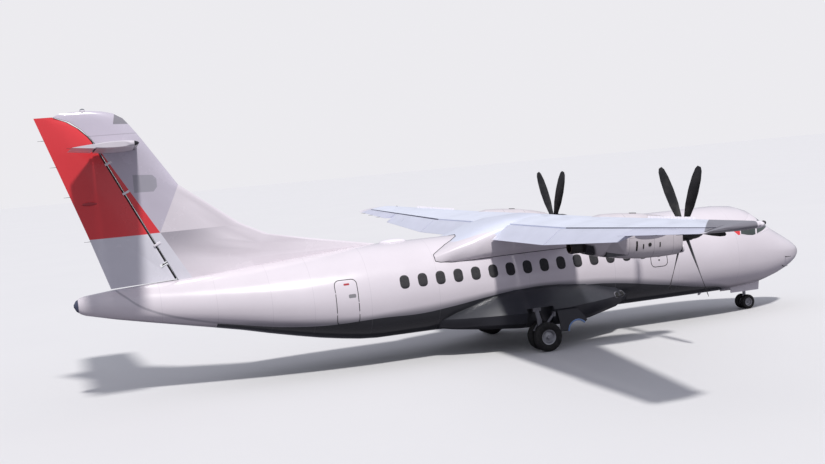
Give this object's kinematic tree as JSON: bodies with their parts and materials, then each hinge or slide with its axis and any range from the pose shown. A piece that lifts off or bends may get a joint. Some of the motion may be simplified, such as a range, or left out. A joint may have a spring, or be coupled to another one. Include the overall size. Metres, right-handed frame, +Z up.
{
  "type": "regional turboprop airliner",
  "caption": "High-wing twin turboprop airliner on its gear, with turning propellers and wheels, steerable nose gear, drooped flaps, ailerons, elevators, rudder, T-tail and hinged cabin and cargo doors.",
  "frame": {"origin": "on the ground, on the plane of symmetry, midway between the nose tip and the tail's rearmost point", "axes": "+X to the nose, +Y to the left wing tip, +Z up"},
  "size_m": [22.67, 24.57, 7.59],
  "materials": {
    "white_paint": "gloss white paint on aluminium skin",
    "charcoal_paint": "satin charcoal paint",
    "wing_grey_paint": "light blue-grey paint on aluminium",
    "surface_composite": "light grey paint on composite skin",
    "fairing_composite": "white paint on composite",
    "tail_composite": "white paint on composite",
    "red_composite": "red paint on composite",
    "black_blade_composite": "satin black paint on composite",
    "cockpit_glass": "dark laminated glass",
    "gear_steel": "painted light grey steel",
    "wheel_alloy": "light grey painted alloy",
    "tyre_rubber": "black rubber",
    "exhaust_metal": "heat-darkened steel",
    "engine_casing": "bare cast casing"
  },
  "bodies": {
    "airframe": {"nose": "white_paint", "cockpit_glazing": "cockpit_glass", "forward_fuselage": "white_paint", "centre_fuselage": "white_paint", "rear_fuselage": "white_paint", "tail_fuselage": "white_paint", "tail_cone": "tail_composite", "wing_root_fairing": "fairing_composite", "gear_fairing": "charcoal_paint", "wing_centre": "wing_grey_paint", "wing_outer_left": "wing_grey_paint", "wing_outer_right": "wing_grey_paint", "wing_tip_left": "fairing_composite", "wing_tip_right": "fairing_composite", "nacelle_left": "fairing_composite", "nacelle_right": "fairing_composite", "engine_left": "engine_casing", "engine_right": "engine_casing", "exhaust_left": "exhaust_metal", "exhaust_right": "exhaust_metal", "fin": "tail_composite", "tailplane": "tail_composite", "nose_leg": "gear_steel", "nose_gear_door_left": "white_paint", "nose_gear_door_right": "white_paint", "main_leg_left": "gear_steel", "main_leg_right": "gear_steel", "main_gear_door_left": "charcoal_paint", "main_gear_door_right": "charcoal_paint", "service_door": "white_paint"},
    "flap_inner_left": {"flap_inner_left": "surface_composite"},
    "flap_inner_right": {"flap_inner_right": "surface_composite"},
    "flap_outer_left": {"flap_outer_left": "surface_composite"},
    "flap_outer_right": {"flap_outer_right": "surface_composite"},
    "aileron_left": {"aileron_left": "surface_composite"},
    "aileron_right": {"aileron_right": "surface_composite"},
    "rudder": {"rudder": "red_composite"},
    "elevator_left": {"elevator_left": "tail_composite"},
    "elevator_right": {"elevator_right": "tail_composite"},
    "propeller_left": {"propeller_left": "black_blade_composite", "spinner_left": "black_blade_composite"},
    "propeller_right": {"propeller_right": "black_blade_composite", "spinner_right": "black_blade_composite"},
    "nose_fork": {"nose_fork": "gear_steel"},
    "nose_wheels": {"nose_rims": "wheel_alloy", "nose_tyre_left": "tyre_rubber", "nose_tyre_right": "tyre_rubber"},
    "main_wheels_left": {"main_left_rims": "wheel_alloy", "main_left_tyre_left": "tyre_rubber", "main_left_tyre_right": "tyre_rubber"},
    "main_wheels_right": {"main_right_rims": "wheel_alloy", "main_right_tyre_left": "tyre_rubber", "main_right_tyre_right": "tyre_rubber"},
    "passenger_door": {"passenger_door": "white_paint"},
    "cargo_door": {"cargo_door": "white_paint"}
  },
  "joints": [
    {"name": "flap_inner_left_hinge", "type": "hinge", "parent": "airframe", "child": "flap_inner_left", "pos_m": [0.9392, 1.42, 3.4268], "axis": [0, -1, 0], "range_deg": [-18, 17]},
    {"name": "flap_inner_right_hinge", "type": "hinge", "parent": "airframe", "child": "flap_inner_right", "pos_m": [0.9392, -1.42, 3.4268], "axis": [0, -1, 0], "range_deg": [-18, 17]},
    {"name": "flap_outer_left_hinge", "type": "hinge", "parent": "airframe", "child": "flap_outer_left", "pos_m": [0.9384, 4.862, 3.4283], "axis": [0.0263, -0.9986, -0.045], "range_deg": [-18, 17]},
    {"name": "flap_outer_right_hinge", "type": "hinge", "parent": "airframe", "child": "flap_outer_right", "pos_m": [0.9384, -4.862, 3.4283], "axis": [-0.0263, -0.9986, 0.045], "range_deg": [-18, 17]},
    {"name": "aileron_left_hinge", "type": "hinge", "parent": "airframe", "child": "aileron_left", "pos_m": [0.8357, 8.755, 3.6038], "axis": [0.0283, -0.9986, -0.045], "range_deg": [-14, 14]},
    {"name": "aileron_right_hinge", "type": "hinge", "parent": "airframe", "child": "aileron_right", "pos_m": [0.8357, -8.755, 3.6038], "axis": [-0.0283, -0.9986, 0.045], "range_deg": [-14, 14]},
    {"name": "rudder_hinge", "type": "hinge", "parent": "airframe", "child": "rudder", "pos_m": [-8.4531, 0, 3.4], "axis": [-0.4197, 0, 0.9077], "range_deg": [-27, 27]},
    {"name": "elevator_left_hinge", "type": "hinge", "parent": "airframe", "child": "elevator_left", "pos_m": [-10.0494, 0.27, 6.55], "axis": [0, -1, 0], "range_deg": [-23, 13]},
    {"name": "elevator_right_hinge", "type": "hinge", "parent": "airframe", "child": "elevator_right", "pos_m": [-10.0494, -0.27, 6.55], "axis": [0, -1, 0], "range_deg": [-23, 13]},
    {"name": "propeller_left_spin", "type": "hinge", "parent": "airframe", "child": "propeller_left", "pos_m": [4.885, 4.05, 3.065], "axis": [1, 0, 0], "continuous": true},
    {"name": "propeller_right_spin", "type": "hinge", "parent": "airframe", "child": "propeller_right", "pos_m": [4.885, -4.05, 3.065], "axis": [1, 0, 0], "continuous": true},
    {"name": "nose_steering", "type": "hinge", "parent": "airframe", "child": "nose_fork", "pos_m": [9.335, 0, 0.62], "axis": [0, 0, 1], "range_deg": [-60, 60]},
    {"name": "nose_wheels_spin", "type": "hinge", "parent": "nose_fork", "child": "nose_wheels", "pos_m": [9.335, 0, 0.225], "axis": [0, 1, 0], "continuous": true},
    {"name": "main_wheels_left_spin", "type": "hinge", "parent": "airframe", "child": "main_wheels_left", "pos_m": [1.475, 2.05, 0.405], "axis": [0, 1, 0], "continuous": true},
    {"name": "main_wheels_right_spin", "type": "hinge", "parent": "airframe", "child": "main_wheels_right", "pos_m": [1.475, -2.05, 0.405], "axis": [0, 1, 0], "continuous": true},
    {"name": "passenger_door_hinge", "type": "hinge", "parent": "airframe", "child": "passenger_door", "pos_m": [-3.635, 1.2857, 1.34], "axis": [-0.9951, -0.0988, 0], "range_deg": [0, 140]},
    {"name": "cargo_door_hinge", "type": "hinge", "parent": "airframe", "child": "cargo_door", "pos_m": [7.865, 1.1822, 2.68], "axis": [0.9999, -0.0171, 0], "range_deg": [0, 105]}
  ]
}
